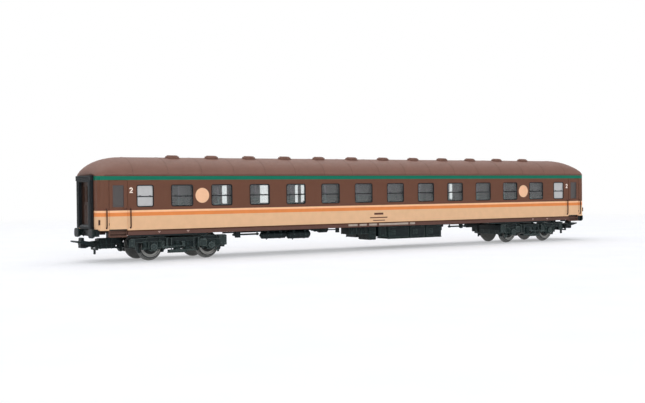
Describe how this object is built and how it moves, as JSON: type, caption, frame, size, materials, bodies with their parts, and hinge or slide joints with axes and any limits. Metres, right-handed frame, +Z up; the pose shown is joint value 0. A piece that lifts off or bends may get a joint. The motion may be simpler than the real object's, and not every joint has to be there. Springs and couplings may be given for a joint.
{
  "type": "scale model passenger coach",
  "caption": "H0 scale model of a main-line compartment coach, brown with cream lower band and green eaves stripe, on swivelling bogies with loop couplings.",
  "frame": {"origin": "middle of the coach on the floor that its wheel flanges stand on", "axes": "+X along the coach to its right-hand end seen from the compartment side, which faces -Y; +Z up"},
  "size_m": [0.3128, 0.0324, 0.0485],
  "materials": {
    "body_paint": "satin brown, with a cream lower band, an orange and a pale line above it and a green stripe at the eaves",
    "roof_paint": "satin grey-brown",
    "clear_window": "clear moulded plastic",
    "rubber_black": "dull black-grey, like rubber",
    "frame_black": "dull dark green-grey",
    "door_brown": "satin dark brown",
    "interior_plastic": "moulded blue-grey",
    "weight_steel": "plain rolled sheet",
    "pin_steel": "turned steel",
    "wheel_steel": "turned and darkened steel"
  },
  "bodies": {
    "coach": {"body_shell": "body_paint", "roof": "roof_paint", "roof_vents": "roof_paint", "glazing_near": "clear_window", "glazing_far": "clear_window", "end_door_left": "door_brown", "end_door_right": "door_brown", "steps_near_left": "door_brown", "steps_near_right": "door_brown", "steps_far_left": "door_brown", "steps_far_right": "door_brown", "gangway_left": "rubber_black", "gangway_right": "rubber_black", "interior": "interior_plastic", "ballast_weight": "weight_steel", "underframe": "frame_black", "buffer_near_left": "frame_black", "buffer_near_right": "frame_black", "buffer_far_left": "frame_black", "buffer_far_right": "frame_black", "air_tanks": "frame_black", "brake_rods": "frame_black", "battery_box": "frame_black", "converter_box": "frame_black", "switch_box": "frame_black", "battery_box_far": "frame_black", "bogie_pin_left": "pin_steel", "coupling_pin_left": "pin_steel", "bogie_pin_right": "pin_steel", "coupling_pin_right": "pin_steel"},
    "bogie_left": {"bogie_frame_left": "frame_black", "bogie_brakes_left": "frame_black"},
    "coupling_left": {"coupling_arm_left": "frame_black", "coupling_head_left": "frame_black"},
    "loop_left": {"coupling_loop_left": "frame_black"},
    "bogie_right": {"bogie_frame_right": "frame_black", "bogie_brakes_right": "frame_black"},
    "coupling_right": {"coupling_arm_right": "frame_black", "coupling_head_right": "frame_black"},
    "loop_right": {"coupling_loop_right": "frame_black"},
    "wheelset_1": {"axle_1": "wheel_steel", "wheels_1": "wheel_steel"},
    "wheelset_2": {"axle_2": "wheel_steel", "wheels_2": "wheel_steel"},
    "wheelset_3": {"axle_3": "wheel_steel", "wheels_3": "wheel_steel"},
    "wheelset_4": {"axle_4": "wheel_steel", "wheels_4": "wheel_steel"}
  },
  "joints": [
    {"name": "bogie_swivel_left", "type": "hinge", "parent": "coach", "child": "bogie_left", "pos_m": [-0.1092, 0, 0.0096], "axis": [0, 0, 1], "range_deg": [-16, 16]},
    {"name": "bogie_swivel_right", "type": "hinge", "parent": "coach", "child": "bogie_right", "pos_m": [0.1092, 0, 0.0096], "axis": [0, 0, 1], "range_deg": [-16, 16]},
    {"name": "wheel_spin_1", "type": "hinge", "parent": "bogie_left", "child": "wheelset_1", "pos_m": [-0.12355, 0, 0.0064], "axis": [0, 1, 0], "continuous": true},
    {"name": "wheel_spin_2", "type": "hinge", "parent": "bogie_left", "child": "wheelset_2", "pos_m": [-0.09485, 0, 0.0064], "axis": [0, 1, 0], "continuous": true},
    {"name": "wheel_spin_3", "type": "hinge", "parent": "bogie_right", "child": "wheelset_3", "pos_m": [0.09485, 0, 0.0064], "axis": [0, 1, 0], "continuous": true},
    {"name": "wheel_spin_4", "type": "hinge", "parent": "bogie_right", "child": "wheelset_4", "pos_m": [0.12355, 0, 0.0064], "axis": [0, 1, 0], "continuous": true},
    {"name": "coupling_swing_left", "type": "hinge", "parent": "coach", "child": "coupling_left", "pos_m": [-0.1356, 0, 0.0121], "axis": [0, 0, 1], "range_deg": [-10, 10]},
    {"name": "coupling_swing_right", "type": "hinge", "parent": "coach", "child": "coupling_right", "pos_m": [0.1356, 0, 0.0121], "axis": [0, 0, 1], "range_deg": [-10, 10]},
    {"name": "loop_lift_left", "type": "hinge", "parent": "coupling_left", "child": "loop_left", "pos_m": [-0.1472, 0, 0.008], "axis": [0, 1, 0], "range_deg": [0, 30]},
    {"name": "loop_lift_right", "type": "hinge", "parent": "coupling_right", "child": "loop_right", "pos_m": [0.1472, 0, 0.008], "axis": [0, -1, 0], "range_deg": [0, 30]}
  ]
}
